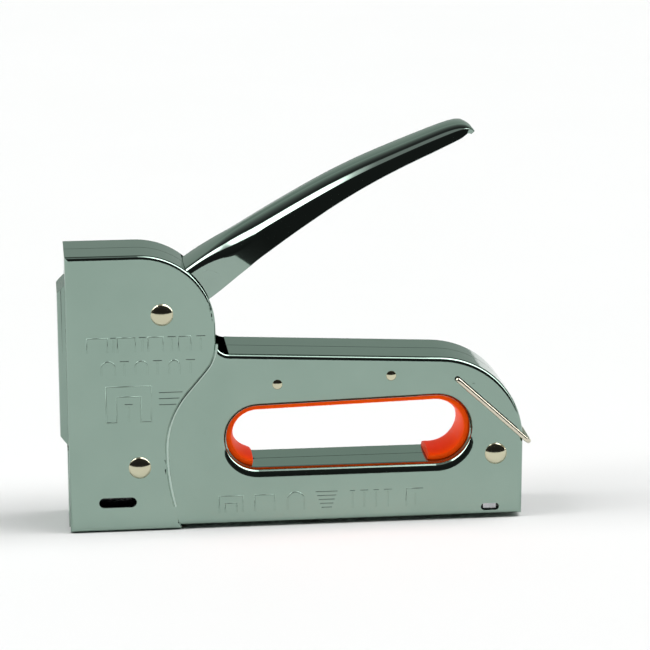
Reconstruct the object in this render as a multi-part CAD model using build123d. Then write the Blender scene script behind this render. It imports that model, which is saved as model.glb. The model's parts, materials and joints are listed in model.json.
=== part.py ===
from build123d import *
from math import cos, radians, sin
import os

# Heavy-duty hand staple gun (tacker), millimetres. Lengths run back from the front face of the pressed
# housing, heights run up from the surface it stands on, and Y = 0 is the seam between the two housing halves.
# On export the whole gun is moved along X so that its box is centred on the origin.

# ---- driving dimensions: housing ------------------------------------------------------------------
SHEET = 1.2                   # housing steel
SEAM = 0.18                   # half the gap between the two housing halves
LENGTH = 175.0                # front face to rear face of the housing
HEAD_TOP = 108.2
HEAD_REAR = 56.3              # rear edge of the head
HEAD_HALF = 14.7              # half width over the raised head
HEAD_CORNER = 29.0            # big round at the head's rear top
HEAD_BEND = 1.5               # outer bend radius round the head
GRIP_HALF = 14.25
GRIP_BEND = 1.85
GRIP_BOTTOM = 1.2
GRIP_TOP_AT_FRONT = 71.66     # the grip's top line, carried forward to the front face
GRIP_FALL = 2.62              # degrees that line falls towards the rear
GRIP_REAR_ROUND = 34.0
NOTCH_ROUND = 5.0             # inside round where head and grip meet
NOTCH_BOTTOM = 74.0
SLOT_START = 52.4             # angle on the head's corner where the lever slot opens
STEP_START = (HEAD_REAR, 73.0)    # the raised head ends along an S-shaped step, from here down
STEP_TURN = 40.0
STEP_ROUNDS = (16.0, 34.0, 90.0)
STEP_MIDDLE = 37.1            # the step's foremost point

# ---- driving dimensions: finger slot and its liner ------------------------------------------------
FINGER_FRONT, FINGER_REAR = 60.25, 154.3
FINGER_BOTTOM = 22.9
FINGER_ROUNDS = (12.2, 13.15)     # front and rear end radii
FINGER_BEND = 3.8
LINER_THICK = 2.4
LINER_HALF = 9.6
LINER_ENDS = (70.2, 138.5)        # where the liner stops along the slot's bottom, front and rear

# ---- driving dimensions: openings and fixings (X, Z) ----------------------------------------------
PIVOT = (36.1, 85.2)
LOWER_RIVET = (26.8, 25.3)
REAR_RIVET = (164.3, 26.1)
SMALL_RIVETS = [(79.6, 56.5), (123.3, 58.6)]
LOCK_PIVOT = (148.9, 56.5)
FRONT_SLOT, FRONT_SLOT_SIZE = (18.2, 11.6), (14.4, 4.0)
REAR_SLOT, REAR_SLOT_SIZE = (162.35, 4.5), (7.1, 2.8)
RIVET_HEAD, RIVET_DOME, RIVET_SHANK = 4.25, 2.0, 2.5
SMALL_HEAD, SMALL_DOME, SMALL_SHANK = 1.95, 0.7, 1.2
RUNNING_FIT = 0.06
NOSE_HALF = 9.7                   # half width of the parts between the front flanges
COVER_TOP, COVER_BOTTOM, COVER_DEPTH = 96.8, 33.0, 3.0
BASE_GAP = 8.3                    # half width left open between the bottom flanges
REAR_GAP_TOP = 16.5

# ---- driving dimensions: lever --------------------------------------------------------------------
LEVER_SHEET = 1.5
LEVER_HALF = 12.6
NECK_HALF = 11.5
TIP_HALF = 10.0
LEVER_TURN = 30.0                 # full squeeze
ARM = 29.0                        # pivot to lifter pin
LIFTER_RADIUS = 2.5
BUSH_RADIUS = 4.0

# ---- driving dimensions: firing train -------------------------------------------------------------
BLADE_FRONT, BLADE_THICK, BLADE_HALF = 1.6, 1.2, 5.3
PLUNGER_FRONT, PLUNGER_REAR, PLUNGER_HALF = 3.0, 17.0, 7.2
PLUNGER_BOTTOM, PLUNGER_TOP, POCKET_FLOOR = 46.0, 84.0, 50.0
POCKET_RADIUS = 6.1
SPRING_RADIUS, SPRING_WIRE, SPRING_PITCH = 4.7, 1.0, 4.4   # centre-line radius, wire radius, pitch
CAP_BOTTOM = 104.0

# ---- driving dimensions: magazine -----------------------------------------------------------------
CHANNEL_HALF, CHANNEL_TOP, CHANNEL_REAR = 6.7, 17.6, 146.0
CORE_HALF, CORE_BOTTOM, CORE_TOP, CORE_SHEET = 3.9, 2.45, 14.9, 0.9
TRACK_FRONT = 3.2                 # front end of channel and core, just behind the driver blade
ROD_HEIGHT, ROD_RADIUS = 8.6, 1.5
FOLLOWER_FRONT, FOLLOWER_REAR = 3.6, 18.0
CAP_FRONT = 147.2
LOCK_WIRE, LOCK_ARM, LOCK_FALL, LOCK_CLEAR = 1.0, 38.4, 42.5, 0.3

parts = {}


def slab(face, y_low, y_high):
    """The XZ face, filled from y_low to y_high."""
    return extrude(Plane.XZ.offset(-y_low) * face, amount=y_low - y_high)


def both(face, half):
    """The XZ face, filled to the same width each side of the seam."""
    return slab(face, -half, half)


def block(x_low, x_high, y_low, y_high, z_low, z_high):
    return Pos((x_low + x_high) / 2, (y_low + y_high) / 2, (z_low + z_high) / 2) * Box(
        x_high - x_low, y_high - y_low, z_high - z_low)


def disc(centre, radius):
    return Pos(*centre) * Circle(radius)


def shaft(centre, radius, y_low, y_high):
    return slab(disc(centre, radius), y_low, y_high)


def hull_of(*circles):
    return make_hull(Sketch([disc(c, r) for c, r in circles]).edges())


def grip_top(x):
    return GRIP_TOP_AT_FRONT - x * sin(radians(GRIP_FALL)) / cos(radians(GRIP_FALL))


def polar(centre, radius, degrees):
    return (centre[0] + radius * cos(radians(degrees)), centre[1] + radius * sin(radians(degrees)))


# ---- outlines -------------------------------------------------------------------------------------
def head_outline():
    """The raised head: straight front and top, one big round, and the S-shaped step down its rear."""
    corner = (HEAD_REAR - HEAD_CORNER, HEAD_TOP - HEAD_CORNER)
    r1, r2, r3 = STEP_ROUNDS
    p1 = polar((HEAD_REAR - r1, STEP_START[1]), r1, -STEP_TURN)
    x2 = STEP_MIDDLE + r2 * (1 - cos(radians(STEP_TURN)))
    run = (p1[0] - x2) / sin(radians(STEP_TURN))
    p2 = (x2, p1[1] - run * cos(radians(STEP_TURN)))
    z3 = p2[1] - r2 * sin(radians(STEP_TURN))
    foot = STEP_MIDDLE + r3 - (r3 ** 2 - z3 ** 2) ** 0.5
    line = Polyline((foot, 0), (0, 0), (0, HEAD_TOP), (corner[0], HEAD_TOP))
    line += RadiusArc((corner[0], HEAD_TOP), (HEAD_REAR, corner[1]), HEAD_CORNER)
    line += Line((HEAD_REAR, corner[1]), STEP_START)
    line += RadiusArc(STEP_START, p1, r1)
    line += Line(p1, p2)
    line += RadiusArc(p2, (STEP_MIDDLE, z3), -r2)
    line += RadiusArc((STEP_MIDDLE, z3), (foot, 0), -r3)
    return make_face(line)


def grip_outline():
    """The grip: a top line falling to the rear, a large rear round, and an inside round under the lever."""
    inside, fall = 25.0, radians(GRIP_FALL)
    round_x = LENGTH - GRIP_REAR_ROUND
    round_z = grip_top(round_x) - GRIP_REAR_ROUND / cos(fall)
    top_end = (round_x + GRIP_REAR_ROUND * sin(fall), round_z + GRIP_REAR_ROUND * cos(fall))
    top_start = (HEAD_REAR + NOTCH_ROUND, grip_top(HEAD_REAR + NOTCH_ROUND))
    line = Polyline((HEAD_REAR, NOTCH_BOTTOM), (inside, NOTCH_BOTTOM), (inside, GRIP_BOTTOM),
                    (LENGTH, GRIP_BOTTOM), (LENGTH, round_z))
    line += RadiusArc((LENGTH, round_z), top_end, -GRIP_REAR_ROUND)
    line += Line(top_end, top_start)
    line += RadiusArc(top_start, (HEAD_REAR, NOTCH_BOTTOM), NOTCH_ROUND * 1.05)
    return make_face(line)


def finger_outline(grow=0.0):
    """The finger slot: two end circles of different radii and the lines that touch both."""
    front, rear = FINGER_ROUNDS
    return hull_of(((FINGER_FRONT + front, FINGER_BOTTOM + front), front + grow),
                   ((FINGER_REAR - rear, FINGER_BOTTOM + rear), rear + grow))


# ---- housing --------------------------------------------------------------------------------------
def shell_body(inset, bends):
    """The outside of one housing half, or, with an inset, the hollow inside it."""
    solid = None
    for face, half, bend in [(head_outline(), HEAD_HALF, bends[0]), (grip_outline(), GRIP_HALF, bends[1])]:
        if inset:
            face = offset(face, -inset, kind=Kind.INTERSECTION)
        piece = slab(face, inset - half, -SEAM if not inset else 1.0)
        if bend:
            rim = piece.faces().sort_by(Axis.Y)[0].edges()
            piece = fillet(rim.filter_by(lambda e: half == HEAD_HALF or e.center().X > HEAD_REAR + 6), bend)
        solid = piece if solid is None else solid + piece
    solid -= both(finger_outline(inset), 30)
    rim = solid.edges().filter_by(lambda e: e.center().Y < -5 and
                                  FINGER_FRONT - 3 < e.bounding_box().min.X and
                                  e.bounding_box().max.X < FINGER_REAR + 3 and
                                  FINGER_BOTTOM - 3 < e.bounding_box().min.Z and
                                  e.bounding_box().max.Z < 53)
    return fillet(rim, bends[2])


def housing_half():
    """The near half: a pressed dish with flanges that meet the far half at the seam."""
    shell = shell_body(0.0, (HEAD_BEND, GRIP_BEND, FINGER_BEND))
    shell -= shell_body(SHEET, (0, GRIP_BEND - SHEET, FINGER_BEND - SHEET))
    corner = (HEAD_REAR - HEAD_CORNER, HEAD_TOP - HEAD_CORNER)
    slot_end = HEAD_REAR + NOTCH_ROUND
    lever_slot = make_face(Polyline(polar(corner, 18, SLOT_START), polar(corner, 50, SLOT_START), (90, 110),
                                    (90, 78), (slot_end, 78), (slot_end, 62), (45, 62), close=True))
    shell -= slab(lever_slot, SHEET - HEAD_HALF, 1)
    shell -= block(-1, SHEET + 0.1, -NOSE_HALF - 0.2, 1, -1, COVER_TOP + 0.9)
    shell -= block(-1, HEAD_REAR, -BASE_GAP, 1, -1, SHEET + 0.05)
    shell -= block(STEP_MIDDLE, LENGTH + 1, -BASE_GAP, 1, -1, GRIP_BOTTOM + SHEET + 0.05)
    shell -= block(LENGTH - SHEET - 0.1, LENGTH + 1, SHEET - GRIP_HALF, 1, GRIP_BOTTOM + SHEET, REAR_GAP_TOP)
    for centre, size in [(FRONT_SLOT, FRONT_SLOT_SIZE), (REAR_SLOT, REAR_SLOT_SIZE)]:
        shell -= slab(Pos(*centre) * SlotOverall(*size), -20, -10)
    for centre in [PIVOT, LOWER_RIVET, REAR_RIVET]:
        shell -= shaft(centre, RIVET_SHANK + 0.05, -20, -10)
    for centre in SMALL_RIVETS:
        shell -= shaft(centre, SMALL_SHANK + 0.05, -20, -10)
    shell -= shaft(LOCK_PIVOT, LOCK_WIRE + 0.1, -20, -10)
    shell -= Pos(LINER_ENDS[0] + 0.9, 0, FINGER_BOTTOM) * Cylinder(0.8, 4)
    return shell


left = housing_half()
parts["left_housing"] = left
parts["right_housing"] = mirror(left, about=Plane.XZ)


# ---- front cover and nose plate -------------------------------------------------------------------
def front_cover():
    """A pressed cover over the driver track: chamfered at the top, rounded at the bottom."""
    sheet, lip = 1.0, 2.2
    outline = make_face(Polyline((lip, COVER_BOTTOM), (0.4, COVER_BOTTOM), (-COVER_DEPTH, COVER_BOTTOM + 4.2),
                                 (-COVER_DEPTH, COVER_TOP - 3.4), (0.4, COVER_TOP), (lip, COVER_TOP),
                                 close=True))
    outer = both(outline, NOSE_HALF)
    outer = fillet(outer.edges().filter_by(Axis.Z).sort_by(Axis.X)[:2], 1.6)
    hollow = both(offset(outline, -sheet, kind=Kind.INTERSECTION), NOSE_HALF - sheet)
    hollow += block(0.5, lip + 1, sheet - NOSE_HALF, NOSE_HALF - sheet, COVER_BOTTOM + sheet, COVER_TOP - sheet)
    hollow += block(SHEET + 0.1, lip + 1, sheet - NOSE_HALF, NOSE_HALF - sheet, 0, HEAD_TOP)
    ear = block(SHEET + 0.1, lip, NOSE_HALF - sheet, NOSE_HALF + 1.9, COVER_BOTTOM + 2, COVER_TOP - 4)
    return outer - hollow + ear + mirror(ear, about=Plane.XZ)


def nose_plate():
    """The flat steel plate in front of the driver track, down to the nose, with a folded foot each side."""
    plate = block(-0.4, 0.9, -NOSE_HALF, NOSE_HALF, 0.6, COVER_BOTTOM - 0.5)
    plate = fillet(plate.edges().filter_by(Axis.X), 1.0)
    ear = block(0.9, 9.0, 8.5, NOSE_HALF, 6.0, 26.0)
    return plate + ear + mirror(ear, about=Plane.XZ)


parts["front_cover"] = front_cover()
parts["nose_plate"] = nose_plate()


# ---- rivets and spacers ---------------------------------------------------------------------------
def rivet(centre, half, shank, head, dome):
    """A shank through both housing halves with a domed head closed over each side."""
    cap_radius = (head ** 2 + dome ** 2) / (2 * dome)
    ball = Pos(centre[0], -half - dome + cap_radius, centre[1]) * Sphere(cap_radius)
    cap = ball & block(centre[0] - 9, centre[0] + 9, -half - 9, -half, centre[1] - 9, centre[1] + 9)
    return shaft(centre, shank, -half, half) + cap + mirror(cap, about=Plane.XZ)


def tube(centre, outer, inner, half):
    return shaft(centre, outer, -half, half) - shaft(centre, inner, -half - 1, half + 1)


inside_head, inside_grip = HEAD_HALF - SHEET - 0.05, GRIP_HALF - SHEET - 0.05
parts["pivot_rivet"] = rivet(PIVOT, HEAD_HALF, RIVET_SHANK, RIVET_HEAD, RIVET_DOME)
parts["pivot_bush"] = tube(PIVOT, BUSH_RADIUS, RIVET_SHANK + 0.05, inside_head)
parts["lower_rivet"] = rivet(LOWER_RIVET, HEAD_HALF, RIVET_SHANK, RIVET_HEAD, RIVET_DOME)
parts["lower_spacer"] = tube(LOWER_RIVET, BUSH_RADIUS, RIVET_SHANK + 0.05, inside_head)
parts["rear_rivet"] = rivet(REAR_RIVET, GRIP_HALF, RIVET_SHANK, RIVET_HEAD, RIVET_DOME)
parts["rear_spacer"] = tube(REAR_RIVET, BUSH_RADIUS, RIVET_SHANK + 0.05, inside_grip)
parts["small_rivets"] = Compound([rivet(c, GRIP_HALF, SMALL_SHANK, SMALL_HEAD, SMALL_DOME)
                                  for c in SMALL_RIVETS])
parts["small_spacers"] = Compound([tube(c, 2.6, SMALL_SHANK + 0.05, inside_grip) for c in SMALL_RIVETS])


# ---- grip liner -----------------------------------------------------------------------------------
def grip_liner():
    """Orange plastic lining of the finger slot, open along the middle of its bottom."""
    ring = both(finger_outline(-0.05) - finger_outline(-LINER_THICK), LINER_HALF)
    ring -= block(LINER_ENDS[0], LINER_ENDS[1], -20, 20, FINGER_BOTTOM - 1, FINGER_BOTTOM + 8)
    return ring


parts["grip_liner"] = grip_liner()


# ---- lever ----------------------------------------------------------------------------------------
LIFTER = polar(PIVOT, ARM, 180 + LEVER_TURN / 2)


# Stations along the handle: top line X and Z, slope in degrees, half width, depth of the side walls.
LEVER_STATIONS = [
    (47.0, 103.3, 33, NECK_HALF, 15.2), (54.0, 108.1, 33, NECK_HALF, 14.2), (62.0, 113.3, 31, LEVER_HALF, 12.8),
    (72.8, 119.6, 30, LEVER_HALF, 11.0), (88.9, 129.0, 29, LEVER_HALF, 9.1), (105.0, 137.0, 24, LEVER_HALF, 7.7),
    (121.3, 143.4, 20.5, 12.0, 6.0), (137.4, 149.2, 20, 11.2, 5.6), (149.0, 153.1, 17, 10.4, 5.0),
    (153.8, 153.0, -20, 9.6, 4.4), (156.8, 150.6, -58, 8.6, 3.2)]
LEVER_CORNER = 5.0


def lever_section(station, inset=0.0):
    """One cross-section of the handle channel, or of the hollow under it."""
    x, z, slope, half, depth = station
    corner = min(LEVER_CORNER, depth - 0.6) - inset * 0.8
    half, drop = half - inset, (3.0 if inset else 0.0)
    line = Polyline((-half, -corner - inset), (-half, -depth - drop), (half, -depth - drop),
                    (half, -corner - inset))
    line += RadiusArc((half, -corner - inset), (half - corner, -inset), -corner)
    line += Line((half - corner, -inset), (corner - half, -inset))
    line += RadiusArc((corner - half, -inset), (-half, -corner - inset), -corner)
    along = (cos(radians(slope)), 0, sin(radians(slope)))
    return Plane(origin=(x, 0, z), x_dir=(0, 1, 0), z_dir=along) * make_face(line)


def lever():
    """One pressed channel: crowned handle, and two cheeks that run past the pivot to the lifter pins."""
    outer = loft([lever_section(station) for station in LEVER_STATIONS])
    x, z, slope, half, depth = LEVER_STATIONS[0]
    inner_stations = [(x - 3.0, z - 2.0, slope, half, depth)] + LEVER_STATIONS[1:-1]
    channel = outer - loft([lever_section(station, LEVER_SHEET) for station in inner_stations])
    cheek = hull_of((PIVOT, 9.5), (LIFTER, 4.0))
    neck = make_hull((Sketch([disc(PIVOT, 9.5)]) +
                      make_face(Polyline((49.0, 102.0), (55.5, 104.0), (61.0, 96.5), (54.6, 91.2), close=True))
                      ).edges())
    plates = slab(cheek + neck, -NECK_HALF, LEVER_SHEET - NECK_HALF)
    plates += mirror(plates, about=Plane.XZ)
    return channel + plates - shaft(PIVOT, BUSH_RADIUS + RUNNING_FIT, -20, 20)


parts["lever"] = lever()
pin = shaft(LIFTER, LIFTER_RADIUS, -NECK_HALF + LEVER_SHEET, -PLUNGER_HALF - 0.3)
parts["lifter_pins"] = Compound([pin, mirror(pin, about=Plane.XZ)])


# ---- firing train ---------------------------------------------------------------------------------
def plunger():
    """Steel hammer block: a pocket for the mainspring and a pair of lugs each side round the lifter pins."""
    middle = (PLUNGER_FRONT + PLUNGER_REAR) / 2
    body = block(PLUNGER_FRONT, PLUNGER_REAR, -PLUNGER_HALF, PLUNGER_HALF, PLUNGER_BOTTOM, PLUNGER_TOP)
    body = fillet(body.edges().filter_by(Axis.Z), 1.0)
    body -= Pos(middle, 0, (POCKET_FLOOR + PLUNGER_TOP) / 2 + 1) * Cylinder(
        POCKET_RADIUS, PLUNGER_TOP - POCKET_FLOOR + 2)
    reach, gap = PLUNGER_HALF + 2.3, LIFTER_RADIUS + 0.15
    for low, high in [(LIFTER[1] + gap, LIFTER[1] + gap + 3.0), (LIFTER[1] - gap - 3.0, LIFTER[1] - gap)]:
        for side in (-1, 1):
            inner, outer = side * (PLUNGER_HALF - 0.6), side * reach
            body += block(PLUNGER_FRONT + 1, PLUNGER_REAR - 4, min(inner, outer), max(inner, outer), low, high)
    return body


def coil(radius, wire, pitch, length):
    """A round-wire coil standing on Z = 0."""
    path = Helix(pitch, length, radius)
    section = Plane(path @ 0, z_dir=path % 0) * Circle(wire)
    return sweep(section, path, is_frenet=True)


plunger_middle = (PLUNGER_FRONT + PLUNGER_REAR) / 2
parts["plunger"] = plunger()
parts["driver_blade"] = block(BLADE_FRONT, BLADE_FRONT + BLADE_THICK, -BLADE_HALF, BLADE_HALF,
                              0.8, PLUNGER_BOTTOM + 24)
blade_pins = [Pos(0, 0, PLUNGER_BOTTOM + 5 + step) * Rot(0, 90, 0) * Cylinder(1.3, 1.0) for step in (0, 12)]
parts["blade_rivets"] = Compound([Pos(BLADE_FRONT - 0.5, y, 0) * p for p in blade_pins for y in (-3, 3)])
parts["mainspring"] = Pos(plunger_middle, 0, POCKET_FLOOR + SPRING_WIRE) * coil(
    SPRING_RADIUS, SPRING_WIRE, SPRING_PITCH, CAP_BOTTOM - POCKET_FLOOR - 2 * SPRING_WIRE)
parts["spring_cap"] = (block(4.0, 16.0, -8.0, 8.0, CAP_BOTTOM, HEAD_TOP - SHEET - 0.1) +
                       Pos(plunger_middle, 0, CAP_BOTTOM - 2) * Cylinder(SPRING_RADIUS - SPRING_WIRE - 0.3, 4))
parts["bumper"] = fillet(block(4.0, 16.0, -9.0, 9.0, 41.0, PLUNGER_BOTTOM - 0.1).edges(), 1.0)


def bumper_bracket():
    """A folded steel shelf under the bumper, carried on the lower rivet's spacer."""
    shelf = block(3.4, 33.0, -inside_head, inside_head, 39.5, 40.95)
    ear = block(20.0, 33.0, inside_head - 1.5, inside_head, 19.0, 39.6)
    bracket = shelf + ear + mirror(ear, about=Plane.XZ)
    return bracket - shaft(LOWER_RIVET, BUSH_RADIUS + 0.05, -20, 20)


def lever_spring():
    """Return spring: a coil round the pivot bush, one leg under the lever and one down into the head."""
    radius, wire, width, leg_wire = 6.0, 0.7, 8.0, 0.76
    spring = Pos(0, width / 2, 0) * Rot(90, 0, 0) * coil(radius, wire, width / 5, width)
    spring += Pos(radius, width / 2, 10.5) * Cylinder(leg_wire, 22)
    spring += Pos(radius, -width / 2, -7.5) * Cylinder(leg_wire, 16)
    return Pos(PIVOT[0], 0, PIVOT[1]) * Rot(0, 30, 0) * spring


parts["bumper_bracket"] = bumper_bracket()
parts["lever_spring"] = lever_spring()


# ---- wire lock ------------------------------------------------------------------------------------
def wire_lock():
    """One bent wire: an inward foot in each housing half, two legs, and a bar behind the gun."""
    side, bend = GRIP_HALF + LOCK_CLEAR + LOCK_WIRE, 2.5
    feet = GRIP_HALF - SHEET - 1.0
    path = FilletPolyline((0, -feet, 0), (0, -side, 0), (LOCK_ARM, -side, 0),
                          (LOCK_ARM, side, 0), (0, side, 0), (0, feet, 0), radius=[1.3, bend, bend, 1.3])
    wire = sweep(Plane(path @ 0, z_dir=path % 0) * Circle(LOCK_WIRE), path)
    return Pos(LOCK_PIVOT[0], 0, LOCK_PIVOT[1]) * Rot(0, LOCK_FALL, 0) * wire


parts["wire_lock"] = wire_lock()


# ---- magazine -------------------------------------------------------------------------------------
def magazine_channel():
    """Folded steel channel, open below, with outward feet that stand on the housing's bottom flanges."""
    outer = block(TRACK_FRONT, CHANNEL_REAR, -CHANNEL_HALF, CHANNEL_HALF, GRIP_BOTTOM, CHANNEL_TOP)
    outer = fillet(outer.edges().filter_by(Axis.X).sort_by(Axis.Z)[-2:], 1.6)
    wall = CHANNEL_HALF - SHEET
    channel = outer - block(0, CHANNEL_REAR + 1, -wall, wall, 0, CHANNEL_TOP - SHEET)
    channel -= block(129, CHANNEL_REAR + 1, -20, 20, 0, CORE_BOTTOM + CORE_SHEET + 0.2)
    base = GRIP_BOTTOM + SHEET + 0.1
    for x in (60.0, 100.0):
        foot = block(x, x + 12, wall, inside_grip - 0.7, base, base + 1.2)
        channel += foot + mirror(foot, about=Plane.XZ)
    return channel


def staple_core():
    """Inner rail that the staples straddle: a U open above, with wings on the bottom flanges at its rear."""
    core = block(TRACK_FRONT, CHANNEL_REAR, -CORE_HALF, CORE_HALF, CORE_BOTTOM, CORE_TOP)
    wall = CORE_HALF - CORE_SHEET
    core -= block(0, CHANNEL_REAR + 1, -wall, wall, CORE_BOTTOM + CORE_SHEET, CORE_TOP + 1)
    wings = block(130, 144, 0.7 - inside_grip, inside_grip - 0.7, CORE_BOTTOM + 0.03, CORE_BOTTOM + CORE_SHEET)
    return core + wings


def follower():
    """Staple pusher: a saddle over the core with a block inside it that slides on the rod."""
    inner, outer = CORE_HALF + 0.15, CHANNEL_HALF - SHEET - 0.15
    top = CHANNEL_TOP - SHEET - 0.15
    saddle = block(FOLLOWER_FRONT, FOLLOWER_REAR, -outer, outer, 5.6, top)
    saddle -= block(0, 30, -inner, inner, 0, CORE_TOP + 0.15)
    wall = CORE_HALF - CORE_SHEET - 0.2
    saddle += block(FOLLOWER_FRONT, FOLLOWER_REAR, -wall, wall, 4.6, CORE_TOP + 0.3)
    rod_hole = Pos(0, 0, ROD_HEIGHT) * Rot(0, 90, 0)
    saddle -= Pos(10, 0, 0) * rod_hole * Cylinder(ROD_RADIUS + RUNNING_FIT, 40)
    return saddle - Pos(FOLLOWER_FRONT + 1.5, 0, 0) * rod_hole * Cylinder(2.4, 3.2)


def pusher_rod():
    """Steel rod with an upset head in front that the follower rests against."""
    along = Pos(0, 0, ROD_HEIGHT) * Rot(0, 90, 0)
    rod = Pos((5.0 + 158) / 2, 0, 0) * along * Cylinder(ROD_RADIUS, 153)
    return rod + Pos(5.2, 0, 0) * along * Cylinder(2.2, 2.0)


def end_cap():
    """Rear plug of the pusher: seat for rod and spring, a foot that the gun stands on, and a thumb face."""
    front = block(CAP_FRONT, CAP_FRONT + 6, -7.3, 7.3, 2.7, 15.8)
    plug = block(CAP_FRONT + 5, LENGTH - 0.8, -4.2, 4.2, 2.7, 15.8)
    face = block(LENGTH - 3.0, LENGTH - 0.8, -4.2, 4.2, 2.7, REAR_GAP_TOP - 0.3)
    foot = fillet(block(CAP_FRONT + 0.4, CAP_FRONT + 5.6, -6, 6, 0, 3.2).edges().filter_by(Axis.Y), 0.5)
    hole = Pos(150, 0, ROD_HEIGHT) * Rot(0, 90, 0) * Cylinder(ROD_RADIUS, 16.0)
    return front + plug + face + foot - hole


def latch_arm():
    """Spring-steel arm beside the end cap: root, lug behind the housing's rear slot, and finger tab."""
    arm = block(CAP_FRONT + 0.3, LENGTH - 0.6, 7.9, 8.9, 3.3, 11.0)
    lug = block(REAR_SLOT[0] - 2.6, REAR_SLOT[0] + 2.6, 8.8, GRIP_HALF - SHEET - 0.15, 3.4, 5.6)
    tab = block(LENGTH - 2.4, LENGTH - 0.6, 6.9, 8.9, 3.3, 14.0)
    return arm + lug + tab


parts["magazine_channel"] = magazine_channel()
parts["staple_core"] = staple_core()
parts["follower"] = follower()
parts["pusher_rod"] = pusher_rod()
parts["end_cap"] = end_cap()
parts["right_latch_arm"] = latch_arm()
parts["left_latch_arm"] = mirror(latch_arm(), about=Plane.XZ)
parts["pusher_spring"] = Pos(FOLLOWER_REAR + 0.4, 0, ROD_HEIGHT) * Rot(0, 90, 0) * coil(
    2.25, 0.35, 5.4, CAP_FRONT - FOLLOWER_REAR - 0.8)

# ---- export ---------------------------------------------------------------------------------------
rearmost = LOCK_PIVOT[0] + LOCK_ARM * cos(radians(LOCK_FALL)) + LOCK_WIRE
centre_x = (rearmost - COVER_DEPTH) / 2
os.makedirs("parts", exist_ok=True)
for name, shape in parts.items():
    export_step(Pos(-centre_x, 0, 0) * shape, f"parts/{name}.step")
print("centre_x", round(centre_x, 4))
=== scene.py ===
import bpy
import bmesh
import json
from math import acos, asin, atan2, cos, pi, radians, sin, sqrt
from mathutils import Matrix, Vector, geometry


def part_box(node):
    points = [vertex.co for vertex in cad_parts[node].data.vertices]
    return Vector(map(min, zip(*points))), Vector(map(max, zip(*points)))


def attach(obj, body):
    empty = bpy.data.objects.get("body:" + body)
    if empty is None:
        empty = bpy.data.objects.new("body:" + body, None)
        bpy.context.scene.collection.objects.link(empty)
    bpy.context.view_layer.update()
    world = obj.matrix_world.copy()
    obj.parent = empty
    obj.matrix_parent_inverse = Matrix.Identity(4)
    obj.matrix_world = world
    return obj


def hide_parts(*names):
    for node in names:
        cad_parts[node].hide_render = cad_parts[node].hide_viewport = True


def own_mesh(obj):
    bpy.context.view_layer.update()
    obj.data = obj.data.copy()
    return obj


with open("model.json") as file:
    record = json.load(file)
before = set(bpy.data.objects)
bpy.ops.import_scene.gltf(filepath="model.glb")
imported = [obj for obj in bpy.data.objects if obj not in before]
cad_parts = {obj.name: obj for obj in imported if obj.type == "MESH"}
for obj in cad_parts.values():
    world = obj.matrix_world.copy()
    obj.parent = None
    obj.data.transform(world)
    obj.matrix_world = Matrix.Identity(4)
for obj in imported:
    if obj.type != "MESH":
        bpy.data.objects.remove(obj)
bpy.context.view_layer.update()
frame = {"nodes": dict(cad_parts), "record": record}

MM = 0.001
HOUSING_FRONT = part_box("left_housing")[0].x      # every X below is counted back from this face
HEAD_FACE = -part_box("left_housing")[0].y / MM    # half width over the raised head
STEP_DEPTH = 0.45                                # how far the sheet steps in behind the head
GRIP_FACE = HEAD_FACE - STEP_DEPTH               # half width over the grip


def place(x, y, z):
    """A point x mm behind the front face, y mm across from the seam and z mm above the floor."""
    return Vector((HOUSING_FRONT + x * MM, y * MM, z * MM))


def add_node(tree, kind, **values):
    """A shader node with its named inputs or settings filled in."""
    node = tree.nodes.new(kind)
    for name, value in values.items():
        if name in node.inputs:
            node.inputs[name].default_value = value
        else:
            setattr(node, name, value)
    return node


def noise_field(tree, scale, stretch=(1, 1, 1), detail=3.0):
    """Noise in the object's own metres, drawn out along any axis with a small stretch number."""
    place_in = add_node(tree, "ShaderNodeTexCoord")
    mapping = add_node(tree, "ShaderNodeMapping", Scale=stretch)
    tree.links.new(place_in.outputs["Object"], mapping.inputs["Vector"])
    noise = add_node(tree, "ShaderNodeTexNoise", Scale=scale, Detail=detail)
    tree.links.new(mapping.outputs["Vector"], noise.inputs["Vector"])
    return noise.outputs["Fac"]


def between(tree, field, low, high, at=(0.3, 0.7)):
    """The field, stretched so that it runs from low to high."""
    spread = add_node(tree, "ShaderNodeMapRange")
    spread.inputs["From Min"].default_value, spread.inputs["From Max"].default_value = at
    spread.inputs["To Min"].default_value, spread.inputs["To Max"].default_value = low, high
    tree.links.new(field, spread.inputs["Value"])
    return spread.outputs["Result"]


def blend_colour(tree, factor, first, second):
    """first where the factor is 0 and second where it is 1; either may be a colour or a socket."""
    mix = add_node(tree, "ShaderNodeMix", data_type="RGBA")
    tree.links.new(factor, mix.inputs[0])
    for value, socket in ((first, mix.inputs[6]), (second, mix.inputs[7])):
        if isinstance(value, tuple):
            socket.default_value = (*value, 1)
        else:
            tree.links.new(value, socket)
    return mix.outputs[2]


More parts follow.
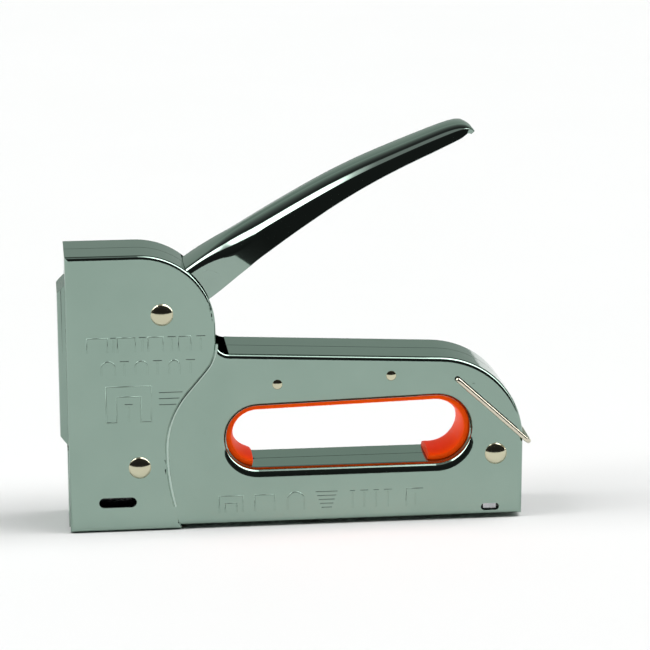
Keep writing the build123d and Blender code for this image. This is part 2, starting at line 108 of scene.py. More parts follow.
def metal(name, colour, cloudy, rough, brush=(1, 1, 1), bump=0.04, speck=(0.10, 0.09, 0.08),
          specks=0.25):
    """A plated or bare metal: clouded colour, drawn or rolled grain, and small dull specks of wear."""
    material = bpy.data.materials.new(name)
    material.use_nodes = True
    tree = material.node_tree
    shader = tree.nodes["Principled BSDF"]
    shader.inputs["Metallic"].default_value = 1.0
    clouds = between(tree, noise_field(tree, 38), 0, 1)
    base = blend_colour(tree, clouds, colour, cloudy)
    dust = between(tree, noise_field(tree, 620, detail=6), 0, specks, at=(0.66, 0.78))
    base = blend_colour(tree, dust, base, speck)
    tree.links.new(base, shader.inputs["Base Color"])
    fine = noise_field(tree, 2600, brush, detail=2)
    patchy = add_node(tree, "ShaderNodeMath", operation="ADD")
    tree.links.new(between(tree, fine, rough[0], rough[1]), patchy.inputs[0])
    handled = between(tree, noise_field(tree, 90, detail=5), 0, rough[1] - rough[0])
    tree.links.new(handled, patchy.inputs[1])
    tree.links.new(patchy.outputs[0], shader.inputs["Roughness"])
    relief = add_node(tree, "ShaderNodeBump", Strength=bump, Distance=0.0002)
    tree.links.new(fine, relief.inputs["Height"])
    ripple = add_node(tree, "ShaderNodeBump", Strength=bump, Distance=0.0012)
    tree.links.new(noise_field(tree, 55, detail=1), ripple.inputs["Height"])
    tree.links.new(relief.outputs["Normal"], ripple.inputs["Normal"])
    tree.links.new(ripple.outputs["Normal"], shader.inputs["Normal"])
    return material


def finish(piece, material):
    """The piece takes this material alone."""
    piece.data.materials.clear()
    piece.data.materials.append(material)


def eased(node, material, width=0.0):
    """A carried-over CAD piece: its finish, and its sheared edges eased by width mm."""
    piece = frame["nodes"][node]
    for slot in piece.material_slots:
        slot.material = material
    if not piece.material_slots:
        piece.data.materials.append(material)
    if width:
        weld = piece.modifiers.new("weld", "WELD")
        weld.merge_threshold = 2e-6
        ease = piece.modifiers.new("ease", "BEVEL")
        ease.width, ease.segments, ease.limit_method = width * MM, 2, "ANGLE"
        ease.angle_limit = radians(50)
        ease.harden_normals = True


housing_chrome = metal("housing_chrome", (0.258, 0.352, 0.300), (0.280, 0.376, 0.322), (0.035, 0.075),
                       brush=(0.25, 1, 1), bump=0.02, specks=0.10)
for side in ("left_housing", "right_housing"):
    eased(side, housing_chrome)

# ==== Embossing ==============================================================================
# Raised beads struck into each housing half from behind: plain pictures of the fasteners that the
# gun takes, in two rows over one large staple on the head, and in a row along the foot of the grip.


def staple_strokes(x, z, width, leg):
    """A staple, crown up."""
    near, far = x - width / 2, x + width / 2
    return [[(near, z), (near, z + leg), (far, z + leg), (far, z)]]


def round_staple_strokes(x, z, width, leg):
    """A cable staple, with a round crown."""
    half = width / 2
    crown = [(x - half * cos(pi * i / 12), z + leg - half + half * sin(pi * i / 12)) for i in range(13)]
    return [[(x - half, z)] + crown + [(x + half, z)]]


def nail_strokes(x, z, head, length):
    """A brad, head up."""
    return [[(x - head / 2, z + length), (x + head / 2, z + length)], [(x, z), (x, z + length - 0.9)]]


def linked(name, data):
    """The mesh, or other data, as an object in the scene."""
    piece = bpy.data.objects.new(name, data)
    bpy.context.collection.objects.link(piece)
    return piece


def round_bar(name, lines, radius, roundness=3):
    """Round bar along each line of points, as one smooth mesh piece. The radius is in metres."""
    bar = bpy.data.curves.new(name, "CURVE")
    bar.dimensions, bar.bevel_depth, bar.bevel_resolution = "3D", radius, roundness
    bar.use_fill_caps = True
    for line in lines:
        spline = bar.splines.new("POLY")
        spline.points.add(len(line) - 1)
        for point, position in zip(spline.points, line):
            point.co = (*position, 1)
    holder = bpy.data.objects.new(name, bar)
    mesh = bpy.data.meshes.new_from_object(holder)
    bpy.data.objects.remove(holder)
    mesh.name = name
    mesh.shade_smooth()
    return linked(name, mesh)


def struck(name, strokes, face, side, bead, proud):
    """Beads along the strokes, standing proud mm off the face that lies face mm from the seam."""
    lines = [[place(x, side * (face - bead + proud), z) for x, z in stroke] for stroke in strokes]
    piece = round_bar(name, lines, bead * MM)
    finish(piece, housing_chrome)
    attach(piece, "housing")
    return piece


TOP_ROW, MIDDLE_ROW, BIG_STAPLE_FOOT, GRIP_ROW = 71.0, 62.0, 43.5, 6.0      # heights in mm
head_strokes = []
for step in range(4):
    head_strokes += staple_strokes(11.5 + 11.0 * step, TOP_ROW, 7.5 - step, 5.6)
    head_strokes += nail_strokes(17.6 + 11.0 * step, TOP_ROW, 2.2 + 0.4 * step, 5.6)
for step in range(3):
    head_strokes += round_staple_strokes(15.5 + 12.5 * step, MIDDLE_ROW, 5.2 - 0.6 * step, 5.4)
    head_strokes += nail_strokes(21.6 + 12.5 * step, MIDDLE_ROW, 3.4, 5.4)
big_staple, inner_staple = (staple_strokes(23.0, BIG_STAPLE_FOOT, width, leg)[0]
                            for width, leg in ((17.0, 14.0), (9.0, 10.0)))
head_strokes += [big_staple + inner_staple[::-1] + big_staple[:1]]
head_strokes += nail_strokes(23.0, BIG_STAPLE_FOOT, 3.0, 7.0)
for step in range(3):               # three lengths of staple leg
    leg_height = 50.0 + 2.4 * step
    head_strokes += [[(34.5, leg_height), (41.0 + 1.2 * step, leg_height)]]
grip_strokes = staple_strokes(61.5, GRIP_ROW, 9.0, 6.5) + staple_strokes(61.5, GRIP_ROW, 4.4, 3.6)
grip_strokes += staple_strokes(74.5, GRIP_ROW, 7.5, 6.5)
grip_strokes += round_staple_strokes(86.5, GRIP_ROW, 6.4, 7.2)
for thread in range(5):             # a screw's turns, narrowing to its point
    half, height = 4.2 - 0.55 * thread, 13.0 - 1.6 * thread
    grip_strokes.append([(98.5 - half, height), (98.5 + half, height)])
for step in range(4):
    grip_strokes += nail_strokes(108.5 + 4.6 * step, GRIP_ROW, 3.0 if step % 2 else 2.0, 7.0)
grip_strokes += [[(129.5, GRIP_ROW), (129.5, 13.0), (136.0, 13.0)],         # a corner clip, and a pin
                 [(133.0, GRIP_ROW), (133.0, 11.0)]]
for side, label in ((-1, "left"), (1, "right")):
    struck(f"{label}_head_embossing", head_strokes, HEAD_FACE, side, bead=0.36, proud=0.15)
    struck(f"{label}_grip_embossing", grip_strokes, GRIP_FACE, side, bead=0.32, proud=0.13)
    struck(f"{label}_lock_detent", [[(155.2, 54.45), (155.2, 54.55)]], GRIP_FACE, side,
           bead=0.8, proud=0.3)

# ==== Crest of the step =====================================================================
# Where the wider head ends, the sheet steps in along an S-shaped line. The press leaves a fine
# rounded crest there, and its chrome is painted lighter than the flat round it: a painted highlight.
# A lighter chrome than the housing's: a painted highlight along the crest.
crest_painted_highlight = metal("crest_painted_highlight", (0.46, 0.57, 0.51), (0.40, 0.51, 0.45), (0.10, 0.20),
                     bump=0.03, specks=0.1)
CREST_TOP = (56.3, 73.0)                  # where the first round leaves the head's rear edge
CREST_ROUNDS = (16.0, 34.0, 90.0)         # radii from the top down
CREST_TURN = radians(40.0)                # how far the first two rounds each turn
CREST_FOREMOST = 37.1                     # X where the line runs furthest forward
CREST_BACK = 0.30                         # the crest lies this far behind the step's own line
CREST_SUNK = 0.36                         # and this far below the head's face
CREST_FOOT = 8.0                          # Z where it fades out


def step_line():
    """(X, Z) down the step: round, straight, the other round, and a long slow bend to the foot."""
    r1, r2, r3 = CREST_ROUNDS
    turns = [CREST_TURN * i / 10 for i in range(11)]
    upper, lower = CREST_TOP[0] - r1, CREST_FOREMOST + r2      # the two rounds' centres
    line = [(upper + r1 * cos(a), CREST_TOP[1] - r1 * sin(a)) for a in turns]
    x2 = lower - r2 * cos(CREST_TURN)
    z2 = line[-1][1] - (line[-1][0] - x2) / sin(CREST_TURN) * cos(CREST_TURN)
    z3 = z2 - r2 * sin(CREST_TURN)
    line += [(lower - r2 * cos(a), z3 + r2 * sin(a)) for a in turns[::-1]]
    for i in range(1, 14):
        fall = z3 * i / 14
        line.append((CREST_FOREMOST + r3 - sqrt(r3 ** 2 - fall ** 2), z3 - fall))
    return [(x + CREST_BACK, z) for x, z in line if z > CREST_FOOT]


for side, label in ((-1, "left"), (1, "right")):
    crest = struck(f"{label}_step_crest", [step_line()], HEAD_FACE - CREST_SUNK, side,
                   bead=0.6, proud=0.26)
    # The crest takes the lighter chrome, a painted highlight.
    finish(crest, crest_painted_highlight)

# ==== Front cover and nose plate =============================================================
# The cover is pressed from 1 mm steel and clips between the housing's front flanges, over the
# driver's track. The nose plate below it is flat, harder steel. Both carry the same chrome.
cover_chrome = metal("cover_chrome", (0.225, 0.305, 0.262), (0.25, 0.335, 0.288), (0.05, 0.10),
                     brush=(1, 1, 0.2), bump=0.03, specks=0.16)
eased("front_cover", cover_chrome, 0.15)
eased("nose_plate", cover_chrome, 0.12)

# ==== Rivets, spacers and bush ===============================================================
# Soft steel rivets, nickel plated to a warm tone, are set through both halves, and each end is
# closed to a low dome. Turned steel tubes between the halves keep them apart and carry the lever.
rivet_nickel = metal("rivet_nickel", (0.62, 0.60, 0.43), (0.52, 0.51, 0.37), (0.05, 0.10),
                     bump=0.03, specks=0.2)


def skinned(name, rings_of_points, capped=False):
    """A skin over rings of points, each joined to the next. A ring of one point closes an end."""
    shape = bmesh.new()
    rings = [[shape.verts.new(point) for point in ring] for ring in rings_of_points]
    most = max(len(ring) for ring in rings)
    for low, high in zip(rings, rings[1:]):
        for i in range(most):
            j = (i + 1) % most
            corners = (low[i % len(low)], low[j % len(low)], high[j % len(high)], high[i % len(high)])
            shape.faces.new(list(dict.fromkeys(corners)))
    if capped:
        shape.faces.new(rings[0])
        shape.faces.new(rings[-1][::-1])
    bmesh.ops.recalc_face_normals(shape, faces=shape.faces)
    mesh = bpy.data.meshes.new(name)
    shape.to_mesh(mesh)
    shape.free()
    return linked(name, mesh)


def turned(name, profile, turns=56):
    """A turned piece: the (radius, height) profile in mm, swept round its own Z axis."""
    angles = [2 * pi * i / turns for i in range(turns)]
    rings = []
    for radius, height in profile:
        ring = [(radius * MM * cos(a), radius * MM * sin(a), height * MM) for a in angles]
        rings.append(ring if radius > 1e-6 else [(0, 0, height * MM)])
    return skinned(name, rings)


def smooth_to(piece, degrees):
    """Smooth shading, with edges sharper than the angle kept crisp."""
    piece.data.shade_smooth()
    piece.data.set_sharp_from_angle(angle=radians(degrees))


def rivet_profile(half, shank, head, dome):
    """One whole rivet from end to end: dome, eased rim, shank, rim and dome."""
    ball = (head ** 2 + dome ** 2) / (2 * dome)
    side = []
    for step in range(13):
        radius = head * 0.985 * sin(pi / 2 * step / 12)
        side.append((radius, half + dome - ball + sqrt(ball ** 2 - radius ** 2)))
    side += [(head, half + 0.10), (head - 0.05, half), (shank, half), (shank, half - 1.0)]
    return side + [(radius, -height) for radius, height in reversed(side)]


def set_rivets(name, node, centres, half, shank, head, dome):
    """Rivets across the gun at the centres, as one piece. half is from the seam to the sheet's face."""
    group = []
    for x, z in centres:
        rivet = turned(name, rivet_profile(half, shank, head, dome))
        rivet.data.transform(Matrix.Translation(place(x, 0, z)) @ Matrix.Rotation(pi / 2, 4, "X"))
        group.append(rivet)
    whole = group[0]
    if len(group) > 1:
        shape = bmesh.new()
        for rivet in group:
            shape.from_mesh(rivet.data)
        shape.to_mesh(whole.data)
        shape.free()
        for rivet in group[1:]:
            bpy.data.objects.remove(rivet)
    smooth_to(whole, 50)
    finish(whole, rivet_nickel)
    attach(whole, "housing")
    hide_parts(node)


def middle(node):
    """X and Z of a CAD piece's middle, in the same mm as place()."""
    low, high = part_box(node)
    return ((low.x + high.x) / 2 - HOUSING_FRONT) / MM, (low.z + high.z) / 2 / MM


PIVOT = middle("pivot_rivet")
for name, face in (("pivot_rivet", HEAD_FACE), ("lower_rivet", HEAD_FACE), ("rear_rivet", GRIP_FACE)):
    set_rivets(f"domed_{name}", name, [middle(name)], face, shank=2.5, head=4.25, dome=1.9)
small_low, small_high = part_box("small_rivets")
SMALL_HEAD = 1.95                         # from a small rivet's centre to its CAD head's edge
small_centres = [((small_low.x - HOUSING_FRONT) / MM + SMALL_HEAD, small_low.z / MM + SMALL_HEAD),
                 ((small_high.x - HOUSING_FRONT) / MM - SMALL_HEAD, small_high.z / MM - SMALL_HEAD)]
set_rivets("domed_small_rivets", "small_rivets", small_centres, GRIP_FACE,
           shank=1.2, head=1.9, dome=0.65)

turned_steel = metal("turned_steel", (0.50, 0.50, 0.49), (0.42, 0.42, 0.41), (0.16, 0.30),
                     brush=(1, 0.1, 1), bump=0.10)
for node in ("pivot_bush", "lower_spacer", "rear_spacer", "small_spacers"):
    eased(node, turned_steel)

# ==== Grip liner =============================================================================
# Moulded orange plastic, one strip pressed round the inside of the finger slot. It is crowned across
# its width, and leaves the middle of the slot's bottom bare between two blunt ends.


def moulded(name, colours, clouds, rough, pores):
    """A plastic or rubber of two colours mixed by clouds, with fine pores.

    clouds are a noise's scale, stretch and detail, the most they mix and the range they mix over;
    rough is a scale, a detail and the lowest and highest roughness; pores are a scale, a detail, a
    strength and a depth in metres."""
    material = bpy.data.materials.new(name)
    material.use_nodes = True
    tree = material.node_tree
    shader = tree.nodes["Principled BSDF"]
    scale, stretch, detail, most, over = clouds
    mottle = between(tree, noise_field(tree, scale, stretch, detail), 0, most, at=over)
    tree.links.new(blend_colour(tree, mottle, *colours), shader.inputs["Base Color"])
    scale, detail, low, high = rough
    tree.links.new(between(tree, noise_field(tree, scale, detail=detail), low, high),
                   shader.inputs["Roughness"])
    scale, detail, strength, depth = pores
    relief = add_node(tree, "ShaderNodeBump", Strength=strength, Distance=depth)
    tree.links.new(noise_field(tree, scale, detail=detail), relief.inputs["Height"])
    tree.links.new(relief.outputs["Normal"], shader.inputs["Normal"])
    return material


orange_plastic = moulded("orange_plastic", ((1.0, 0.115, 0.002), (0.97, 0.090, 0.002)),
                         clouds=(60, (1, 1, 1), 4, 1, (0.3, 0.7)),
                         rough=(2400, 4, 0.38, 0.50), pores=(2400, 4, 0.10, 0.0002))
orange_shader = orange_plastic.node_tree.nodes["Principled BSDF"]
orange_shader.inputs["Specular IOR Level"].default_value = 0.08
# A faint glow lifts the orange, which the dim room would dull. The real plastic has none.
orange_shader.inputs["Emission Color"].default_value = (1.0, 0.055, 0.0, 1)
orange_shader.inputs["Emission Strength"].default_value = 0.22

LINER_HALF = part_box("grip_liner")[1].y / MM
SLOT_FRONT, SLOT_REAR = (72.45, 35.1, 12.2), (141.15, 36.05, 13.15)     # end circles: X, Z, radius
LINER_ENDS = (70.2, 138.5)                # X of the two blunt ends on the slot's bottom
LINER_EDGE, LINER_CROWN = 1.15, 1.85      # thickness at the edge, and how much the crown adds


def slot_route():
    """Points and inward normals round the slot, from the front end over the top to the rear end."""
    (x1, z1, r1), (x2, z2, r2) = SLOT_FRONT, SLOT_REAR
    lean = atan2(z2 - z1, x2 - x1)
    top = lean + acos((r1 - r2) / sqrt((x2 - x1) ** 2 + (z2 - z1) ** 2))
    start = -pi / 2 - asin((x1 - LINER_ENDS[0]) / r1)
    finish_at = -pi / 2 - asin((x2 - LINER_ENDS[1]) / r2)
    turns = [(x1, z1, r1, start - (start + 2 * pi - top) * i / 28) for i in range(29)]
    for t in (i / 30 for i in range(1, 30)):
        turns.append((x1 + (x2 - x1) * t, z1 + (z2 - z1) * t, r1 + (r2 - r1) * t, top))
    turns += [(x2, z2, r2, top - (top - finish_at) * i / 34) for i in range(35)]
    return [((x + r * cos(a), z + r * sin(a)), (-cos(a), -sin(a))) for x, z, r, a in turns]


def liner_section():
    """(across, depth) round the strip: flat against the steel, crowned towards the fingers."""
    inner = []
    for i in range(17):
        t = -1 + 2 * i / 16
        across = LINER_HALF * sin(t * pi / 2)
        bow = sqrt(max(0.0, 1 - (across / (LINER_HALF + 0.5)) ** 2))
        inner.append((across, LINER_EDGE + LINER_CROWN * bow))
    back = [(-LINER_HALF + 0.2, 0.0), (0.0, 0.0), (LINER_HALF - 0.2, 0.0), (LINER_HALF, 0.3)]
    return back + inner[::-1] + [(-LINER_HALF, 0.3)]


def lofted(name, loops, smooth=40):
    """A skin over closed loops of points, capped at both ends, crisp at edges past smooth degrees."""
    piece = skinned(name, loops, capped=True)
    smooth_to(piece, smooth)
    return piece


section = liner_section()
loops = []
route = slot_route()
for index, ((x, z), (nx, nz)) in enumerate(route):
    near_end = min(index, len(route) - 1 - index)
    shrink = (0.90, 0.985)[near_end] if near_end < 2 else 1.0      # the ends' edges are eased
    loops.append([place(x + nx * depth * shrink, across * (shrink + 2) / 3, z + nz * depth * shrink)
                  for across, depth in section])
liner = lofted("moulded_grip_liner", loops)
finish(liner, orange_plastic)
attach(liner, "housing")
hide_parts("grip_liner")

# ==== Firing train ===========================================================================
# A steel hammer block with the driver blade riveted to its face. A stiff coil spring, wound from
# round wire, sits in its pocket below a folded cap, and it lands on a rubber bumper on a bracket.
bare_steel = metal("bare_steel", (0.46, 0.46, 0.46), (0.36, 0.36, 0.365), (0.20, 0.34),
                   brush=(1, 1, 0.08), bump=0.12)
hardened_steel = metal("hardened_steel", (0.33, 0.33, 0.36), (0.26, 0.26, 0.30), (0.14, 0.24),
                       brush=(1, 1, 0.06), bump=0.10)
spring_steel = metal("spring_steel", (0.20, 0.20, 0.215), (0.15, 0.15, 0.165), (0.18, 0.30),
                     bump=0.08, speck=(0.30, 0.30, 0.30))
for node in ("plunger", "spring_cap", "bumper_bracket"):
    eased(node, bare_steel, 0.15)
eased("blade_rivets", bare_steel)
eased("driver_blade", hardened_steel, 0.1)


def wound(name, node, wire, turns, axis):
    """A coil of round wire in a spring's place, its end turns closed."""
    low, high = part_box(node)
    side = Vector((0, 1, 0))
    length, radius = (high - low).dot(axis), (high - low).y / 2 - wire * 1.02
    closed, run = 2.02 * wire, length - 2.4 * wire
    start = (low + high) / 2 - axis * run / 2
    steps = turns * 28
    line = []
    for turn in (turns * i / steps for i in range(steps + 1)):
        rise = closed + (run - 2 * closed) * (turn - 1) / (turns - 2)
        if turn < 1:
            rise = closed * turn
        elif turn > turns - 1:
            rise = run - closed * (turns - turn)
        across = side * cos(2 * pi * turn) + axis.cross(side) * sin(2 * pi * turn)
        line.append(start + axis * rise + across * radius)
    spring = round_bar(name, [line], wire)
    finish(spring, spring_steel)
    bodies = frame["record"]["behaviour"]["bodies"]
    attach(spring, next(body for body, nodes in bodies.items() if node in nodes))
    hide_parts(node)
    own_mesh(spring)


wound("coiled_mainspring", "mainspring", 1.0 * MM, 13, Vector((0, 0, 1)))

black_rubber = moulded("black_rubber", ((0.018, 0.018, 0.019), (0.05, 0.05, 0.05)),
                       clouds=(240, (1, 1, 1), 6, 1, (0.45, 0.75)),
                       rough=(900, 3, 0.6, 0.85), pores=(1500, 5, 0.3, 0.0003))
eased("bumper", black_rubber)

# ==== Lever ==================================================================================
# One channel pressed from 1.5 mm steel and chromed bright. Its crown is full, its side walls lean
# out a little, its tip curls over to a beak for the wire, and two cheeks run down past the pivot.
lever_chrome = metal("lever_chrome", (0.262, 0.345, 0.300), (0.285, 0.37, 0.322), (0.025, 0.06),
                     brush=(0.2, 1, 0.2), bump=0.015, specks=0.08)
LEVER_SHEET = 1.5
CROWN_FALL = 0.25            # how far the middle of the crown falls towards the shoulders
# Along the top line: X, Z, slope in degrees, half width at the skirt, depth, radius of the rolled
# shoulder, how far round it rolls in degrees before the wall begins, and the wall's outward lean.
LEVER_RUN = [
    (45.0, 101.9, 33.5, 11.5, 15.0, 3.0, 88, 0.0), (50.0, 105.4, 33.5, 11.5, 14.8, 3.4, 87, 0.1),
    (54.0, 108.1, 33.0, 11.6, 14.4, 4.4, 84, 0.2), (58.0, 110.8, 32.4, 12.3, 13.8, 6.6, 76, 0.6),
    (62.0, 113.4, 31.6, 13.1, 13.2, 9.0, 66, 1.4), (67.0, 116.5, 30.8, 13.5, 12.4, 11.0, 55, 2.1),
    (72.8, 119.9, 30.2, 13.7, 11.7, 12.0, 48, 2.3), (80.8, 124.5, 29.4, 13.7, 10.8, 12.0, 47, 2.3),
    (88.9, 129.0, 28.0, 13.6, 10.0, 11.6, 47, 2.2), (97.0, 133.3, 26.0, 13.4, 9.2, 11.0, 47, 2.0),
    (105.0, 137.2, 23.8, 13.1, 8.5, 10.2, 47, 1.8), (113.0, 140.8, 22.0, 12.8, 7.8, 9.4, 47, 1.7),
    (121.3, 144.2, 20.6, 12.4, 7.1, 8.8, 46, 1.6), (129.4, 147.4, 20.2, 11.9, 6.6, 8.4, 45, 1.5),
    (137.4, 150.5, 19.8, 11.4, 6.2, 8.0, 45, 1.4), (144.0, 152.9, 18.6, 10.9, 5.7, 7.6, 45, 1.2),
    (148.6, 154.1, 12.0, 10.4, 5.0, 7.0, 42, 0.9), (151.4, 154.2, 0.0, 9.9, 3.9, 6.6, 36, 0.6),
    (153.2, 153.7, -16.0, 9.4, 2.9, 6.2, 30, 0.4), (154.7, 152.8, -38.0, 8.8, 2.4, 6.0, 26, 0.3),
    (155.7, 151.7, -55.0, 8.2, 2.1, 6.0, 22, 0.2)]


def along(rows, position):
    """The rows' values at a fractional position, on a smooth curve through all of them."""
    i = min(int(position), len(rows) - 2)
    t = position - i
    p0, p1, p2, p3 = (rows[max(0, min(len(rows) - 1, i + k))] for k in (-1, 0, 1, 2))
    return [0.5 * (2 * b + (c - a) * t + (2 * a - 5 * b + 4 * c - d) * t * t
                   + (3 * b - a - 3 * c + d) * t ** 3)
            for a, b, c, d in zip(p0, p1, p2, p3)]


def channel_section(half, depth, shoulder, roll, lean, inset):
    """(across, drop) from one skirt edge over the crown to the other, inset mm inside the skin."""
    roll = radians(roll)
    flat = half - lean - shoulder * sin(roll)   # the nearly flat middle of the crown
    side = [(flat * i / 7, CROWN_FALL * (i / 7) ** 2) for i in range(7)]
    for i in range(15):                         # rolled shoulder
        a = roll * i / 14
        side.append((flat + shoulder * sin(a), CROWN_FALL + shoulder * (1 - cos(a))))
    foot = side[-1]
    wall = max(depth - foot[1], 0.5)
    for t in (i / 8 for i in range(1, 9)):      # leaning wall
        side.append((foot[0] + lean * t, foot[1] + wall * t))
    inner = []
    for k, (across, drop) in enumerate(side):
        ahead = side[min(k + 1, len(side) - 1)]
        back = side[max(k - 1, 0)]
        dx, dz = ahead[0] - back[0], ahead[1] - back[1]
        size = sqrt(dx * dx + dz * dz) or 1.0
        inner.append((across - inset * dz / size, drop + inset * dx / size))
    inner[0] = (0.0, side[0][1] + inset)
    return inner


loops = []
STATIONS = 110
for step in range(STATIONS + 1):
    station = along(LEVER_RUN, (len(LEVER_RUN) - 1) * step / STATIONS)
    x, z, slope, half, depth, shoulder, roll, lean = station
    slope = radians(slope)
    thin = min(LEVER_SHEET, depth * 0.62)
    outer = channel_section(half, depth, shoulder, roll, lean, 0.0)
    inner = channel_section(half, depth, shoulder, roll, lean, thin)
    loop = [(-a, d) for a, d in outer[::-1]] + outer[1:]
    loop += inner[::-1] + [(-a, d) for a, d in inner[1:]]
    loops.append([place(x + d * sin(slope), a, z - d * cos(slope)) for a, d in loop])
channel = lofted("lever_channel", loops, 50)
ease = channel.modifiers.new("ease", "BEVEL")
ease.width, ease.segments, ease.limit_method = 0.25 * MM, 3, "ANGLE"
ease.angle_limit = radians(60)
finish(channel, lever_chrome)
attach(channel, "lever")
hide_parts("lever")


def plate(name, outline, y_low, y_high, holes=()):
    """A flat plate with its (X, Z) outline, from y_low to y_high mm, edges eased and holes round."""
    flat = bpy.data.curves.new(name, "CURVE")
    flat.dimensions, flat.fill_mode = "2D", "BOTH"
    flat.extrude = (y_high - y_low) / 2 * MM
    clockwise = [-2 * pi * i / 40 for i in range(40)]
    rings = [outline] + [[(x + r * cos(a), z + r * sin(a)) for a in clockwise] for x, z, r in holes]
    for ring in rings:
        spline = flat.splines.new("POLY")
        spline.points.add(len(ring) - 1)
        spline.use_cyclic_u = True
        for point, (x, z) in zip(spline.points, ring):
            point.co = (x * MM, z * MM, 0, 1)
    shell = bpy.data.objects.new(name, flat)
    mesh = bpy.data.meshes.new_from_object(shell)
    bpy.data.objects.remove(shell)
    upright = Matrix.Rotation(pi / 2, 4, "X")
    mesh.transform(Matrix.Translation(place(0, (y_low + y_high) / 2, 0)) @ upright)
    piece = linked(name, mesh)
    weld = piece.modifiers.new("weld", "WELD")
    weld.merge_threshold = 1e-6
    ease = piece.modifiers.new("ease", "BEVEL")
    ease.width, ease.segments, ease.limit_method = 0.2 * MM, 2, "ANGLE"
    ease.angle_limit = radians(50)
    return piece


def around(points_and_radii, turns=32):
    """The outline that a belt takes round the circles."""
    cloud = [Vector((x + r * cos(2 * pi * i / turns), z + r * sin(2 * pi * i / turns)))
             for x, z, r in points_and_radii for i in range(turns)]
    return [tuple(cloud[i]) for i in geometry.convex_hull_2d(cloud)]


LIFTER = middle("lifter_pins")
NECK_HALF = 11.45            # half width over the cheeks
for side, label in ((-1, "left"), (1, "right")):
    low, high = sorted((side * NECK_HALF, side * (NECK_HALF - LEVER_SHEET)))
    arm = plate(f"{label}_lever_arm", around([(*PIVOT, 9.5), (*LIFTER, 4.0)]), low, high,
                holes=[(*PIVOT, 4.06)])
    corners = [(44.5, 91.5, 4.0), (54.4, 93.4, 1.2), (59.4, 98.0, 1.2), (54.0, 100.5, 1.0),
               (46.0, 96.0, 1.0)]
    neck = plate(f"{label}_lever_neck", around(corners), low, high)
    for cheek in (arm, neck):
        finish(cheek, lever_chrome)
        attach(cheek, "lever")
        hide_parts("lever")
eased("lifter_pins", turned_steel)
eased("lever_spring", spring_steel)

# ==== Magazine ===============================================================================
# A folded steel channel and core make the staple track. The follower, rod, light spring and black
# moulded end cap draw out of the rear as one, held by two zinc-plated sprung latch arms.
zinc_steel = metal("zinc_steel", (0.55, 0.56, 0.57), (0.46, 0.47, 0.485), (0.12, 0.24),
                   brush=(0.08, 1, 1), bump=0.06)
eased("magazine_channel", zinc_steel, 0.12)
eased("staple_core", zinc_steel, 0.12)
eased("follower", hardened_steel, 0.12)
eased("pusher_rod", bare_steel)
wound("coiled_pusher_spring", "pusher_spring", 0.35 * MM, 25, Vector((1, 0, 0)))
eased("left_latch_arm", zinc_steel, 0.1)
eased("right_latch_arm", zinc_steel, 0.1)
black_plastic = moulded("black_plastic", ((0.022, 0.022, 0.024), (0.085, 0.085, 0.085)),
                        clouds=(420, (1, 1, 0.3), 6, 0.6, (0.58, 0.75)),
                        rough=(1600, 3, 0.32, 0.5), pores=(2200, 4, 0.2, 0.0002))
eased("end_cap", black_plastic, 0.25)

# ==== Wire lock ==============================================================================
# One length of 2 mm spring wire, nickel plated, bent to a bail: a foot sprung into each housing
# half, two legs along the sides, and a bar behind that hooks over the lever's beak.
wire_nickel = metal("wire_nickel", (0.66, 0.62, 0.50), (0.56, 0.53, 0.43), (0.06, 0.12),
                    brush=(0.3, 1, 0.3), bump=0.03, specks=0.2)
WIRE = 1.0                                # the wire's radius
WIRE_ARM, WIRE_FALL = 38.4, radians(42.5)     # length of a leg, and how steeply it hangs at rest
WIRE_SIDE = GRIP_FACE + 0.3 + WIRE        # the legs run just clear of the grip
WIRE_FOOT = 12.1                          # the feet end this far from the seam, inside the housing
WIRE_PIVOT = (148.9, 56.5)                # X and Z of the feet
FOOT_BEND, CORNER_BEND = 1.3 * MM, 2.5 * MM


def bent(points, radii, steps=9):
    """The centre line of a wire bent round the corners between its two end points."""
    line = [points[0]]
    for before, corner, after, radius in zip(points, points[1:], points[2:], radii):
        u, v = (before - corner).normalized(), (after - corner).normalized()
        half = u.angle(v) / 2
        reach = radius / (sin(half) / cos(half))
        centre = corner + (u + v).normalized() * (radius / sin(half))
        start, end = corner + u * reach - centre, corner + v * reach - centre
        sweep = start.angle(end)
        for i in range(steps + 1):
            t = i / steps
            spoke = start * sin((1 - t) * sweep) + end * sin(t * sweep)
            line.append(centre + spoke / sin(sweep))
    return line + [points[-1]]


def along_arm(reach, y):
    """A point on the bail, reach mm out from its pivot."""
    return place(WIRE_PIVOT[0] + reach * cos(WIRE_FALL), y, WIRE_PIVOT[1] - reach * sin(WIRE_FALL))


corners = [along_arm(0, -WIRE_FOOT), along_arm(0, -WIRE_SIDE), along_arm(WIRE_ARM, -WIRE_SIDE),
           along_arm(WIRE_ARM, WIRE_SIDE), along_arm(0, WIRE_SIDE), along_arm(0, WIRE_FOOT)]
wire_line = bent(corners, [FOOT_BEND, CORNER_BEND, CORNER_BEND, FOOT_BEND])
wire_lock = round_bar("bent_wire_lock", [wire_line], WIRE * MM, roundness=5)
finish(wire_lock, wire_nickel)
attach(wire_lock, "lock")
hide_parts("wire_lock")

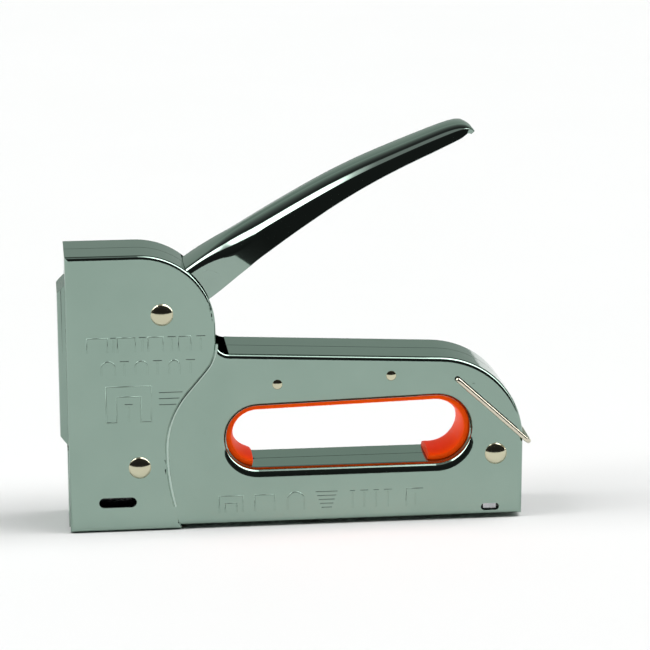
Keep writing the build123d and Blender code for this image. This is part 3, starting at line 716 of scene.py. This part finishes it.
# ==== Floor, light and camera ================================================================
# A plain pale studio floor under one long soft light overhead, with a dim room round it that the
# bright plating shows.
FLOOR = 6.0                  # half the floor's side, in metres
floor_mesh = bpy.data.meshes.new("studio_floor")
floor_mesh.from_pydata([(-FLOOR, -FLOOR, 0), (FLOOR, -FLOOR, 0), (FLOOR, FLOOR, 0), (-FLOOR, FLOOR, 0)],
                       [], [(0, 1, 2, 3)])
floor = linked("studio_floor", floor_mesh)
floor.location.z = -0.0002   # just under the gun's lowest face
floor_paint = bpy.data.materials.new("floor_paint")
floor_paint.use_nodes = True
tree = floor_paint.node_tree
shader = tree.nodes["Principled BSDF"]
tree.links.new(blend_colour(tree, noise_field(tree, 6), (0.84, 0.845, 0.84), (0.86, 0.86, 0.86)),
               shader.inputs["Base Color"])
shader.inputs["Roughness"].default_value = 0.9
shader.inputs["Specular IOR Level"].default_value = 0.1
floor.data.materials.append(floor_paint)

world = bpy.data.worlds.new("studio")
bpy.context.scene.world = world
world.use_nodes = True
tree = world.node_tree
tree.nodes.clear()
direction = add_node(tree, "ShaderNodeTexCoord")
parts_of = add_node(tree, "ShaderNodeSeparateXYZ")
tree.links.new(direction.outputs["Generated"], parts_of.inputs[0])
angle = add_node(tree, "ShaderNodeMath", operation="ARCTAN2")
tree.links.new(parts_of.outputs["Z"], angle.inputs[0])
tree.links.new(parts_of.outputs["Y"], angle.inputs[1])
turn = add_node(tree, "ShaderNodeMapRange")
turn.inputs["From Max"].default_value = pi
tree.links.new(angle.outputs[0], turn.inputs["Value"])


def ramped(socket, stops):
    """The socket's value, turned into the brightness that the (position, brightness) stops give."""
    ramp = add_node(tree, "ShaderNodeValToRGB")
    elements = ramp.color_ramp.elements
    while len(elements) < len(stops):
        elements.new(0.5)
    for element, (where, level) in zip(elements, stops):
        element.position = where
        element.color = (*level, 1) if isinstance(level, tuple) else (level, level, level, 1)
    tree.links.new(socket, ramp.inputs["Fac"])
    return ramp.outputs["Color"]


# ROOM and LIGHT go from the horizon behind the gun (0) over the top to the horizon in front (1).
# REACH goes along the overhead light, from the nose's end (0) to the grip's end (1).
ROOM = [(0.0, (0.36, 0.42, 0.385)), (0.10, (0.34, 0.41, 0.37)), (0.17, (0.30, 0.35, 0.32)),
        (0.25, 0.17), (0.36, 0.05), (0.64, 0.03), (0.92, 0.02), (1.0, 0.06)]
LIGHT = [(0.0, 0.0), (0.425, 0.0), (0.45, 1.0), (0.60, 1.0), (0.63, 0.0), (1.0, 0.0)]
REACH = [(0.0, 1.0), (0.27, 1.0), (0.30, 0.22), (0.33, 0.06), (0.53, 0.06), (0.57, 0.35),
         (0.66, 1.0), (1.0, 1.0)]
LIGHT_STRENGTH = 6.2
room = add_node(tree, "ShaderNodeBackground", Strength=1.0)
tree.links.new(ramped(turn.outputs["Result"], ROOM), room.inputs["Color"])
light = add_node(tree, "ShaderNodeBackground", Strength=LIGHT_STRENGTH)
across = add_node(tree, "ShaderNodeMapRange")
across.inputs["From Min"].default_value = -1.0
tree.links.new(parts_of.outputs["X"], across.inputs["Value"])
reach = add_node(tree, "ShaderNodeMix", data_type="RGBA", blend_type="MULTIPLY")
reach.inputs[0].default_value = 1.0
tree.links.new(ramped(turn.outputs["Result"], LIGHT), reach.inputs[6])
tree.links.new(ramped(across.outputs["Result"], REACH), reach.inputs[7])
tree.links.new(reach.outputs[2], light.inputs["Color"])
both_lights = add_node(tree, "ShaderNodeAddShader")
tree.links.new(room.outputs[0], both_lights.inputs[0])
tree.links.new(light.outputs[0], both_lights.inputs[1])
out = add_node(tree, "ShaderNodeOutputWorld")
tree.links.new(both_lights.outputs[0], out.inputs["Surface"])

FORWARD = Vector((0.1095, 0.9609, -0.2544)).normalized()
TARGET = place(99.45, 0.0, 75.6)
CAMERA_DISTANCE = 1.038
camera_data = bpy.data.cameras.new("camera")
camera_data.sensor_width, camera_data.lens = 36.0, 149.5
camera_data.clip_start, camera_data.clip_end = 0.01, 50
camera = linked("camera", camera_data)
camera.location = TARGET - FORWARD * CAMERA_DISTANCE
camera.rotation_euler = FORWARD.to_track_quat("-Z", "Y").to_euler()
bpy.context.scene.camera = camera
bpy.context.scene.view_settings.view_transform = "Standard"
